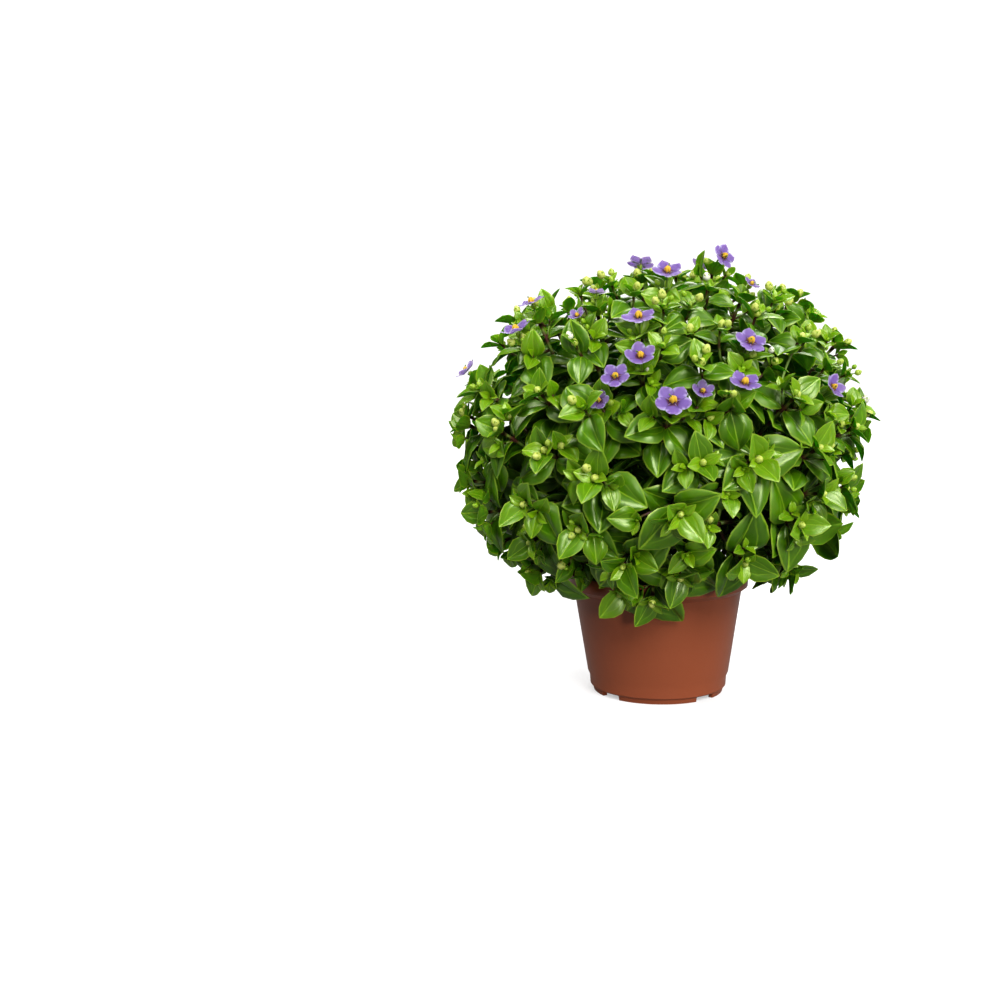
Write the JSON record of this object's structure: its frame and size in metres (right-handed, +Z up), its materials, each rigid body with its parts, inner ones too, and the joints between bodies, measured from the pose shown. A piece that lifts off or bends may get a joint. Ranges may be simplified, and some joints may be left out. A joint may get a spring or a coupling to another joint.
{
  "type": "potted persian violet",
  "caption": "Bushy violet-flowered house plant with broad pointed leaves in a round plastic nursery pot that stands on low feet.",
  "frame": {"origin": "on the ground under the middle of the pot", "axes": "+Z up through the pot and the crown, -Y towards the viewer, +X to the viewer's right"},
  "size_m": [0.274, 0.28, 0.2887],
  "materials": {
    "pot": "satin terracotta-coloured moulded plastic",
    "soil": "dark moist peat potting soil",
    "leaf": "glossy fresh green leaves with lighter edges and three light nerves",
    "petal": "soft satin violet petals with a darker eye",
    "stem": "green stems turning maroon at the joints",
    "bud": "pale yellow-green buds",
    "anther": "yellow anthers"
  },
  "bodies": {
    "root": {"pot": "pot", "soil": "soil", "shoot_01": "leaf", "shoot_02": "leaf", "shoot_03": "leaf", "shoot_04": "leaf", "shoot_05": "leaf", "shoot_06": "leaf", "shoot_07": "leaf", "shoot_08": "leaf", "shoot_09": "leaf", "shoot_10": "leaf", "shoot_11": "leaf", "shoot_12": "leaf", "shoot_13": "leaf", "shoot_14": "leaf", "shoot_15": "leaf", "shoot_16": "leaf", "shoot_17": "leaf", "shoot_18": "leaf", "shoot_19": "leaf", "shoot_20": "leaf", "shoot_21": "leaf", "shoot_22": "leaf", "shoot_23": "leaf", "shoot_24": "leaf", "shoot_25": "leaf", "shoot_26": "leaf", "bloom_01": "petal", "bloom_02": "petal", "bloom_03": "petal", "bloom_04": "petal", "bloom_05": "petal", "bloom_06": "petal", "bloom_07": "petal", "bloom_08": "petal", "bloom_09": "petal", "bloom_10": "petal", "bloom_11": "petal", "bloom_12": "petal", "bloom_13": "petal", "bloom_14": "petal", "bloom_15": "petal", "bloom_16": "petal", "bloom_17": "petal", "bloom_18": "petal", "bloom_19": "petal", "bloom_20": "petal", "bloom_21": "petal", "bloom_22": "petal", "bloom_23": "petal", "bloom_24": "petal", "bloom_25": "petal", "bloom_26": "petal"}
  },
  "joints": []
}
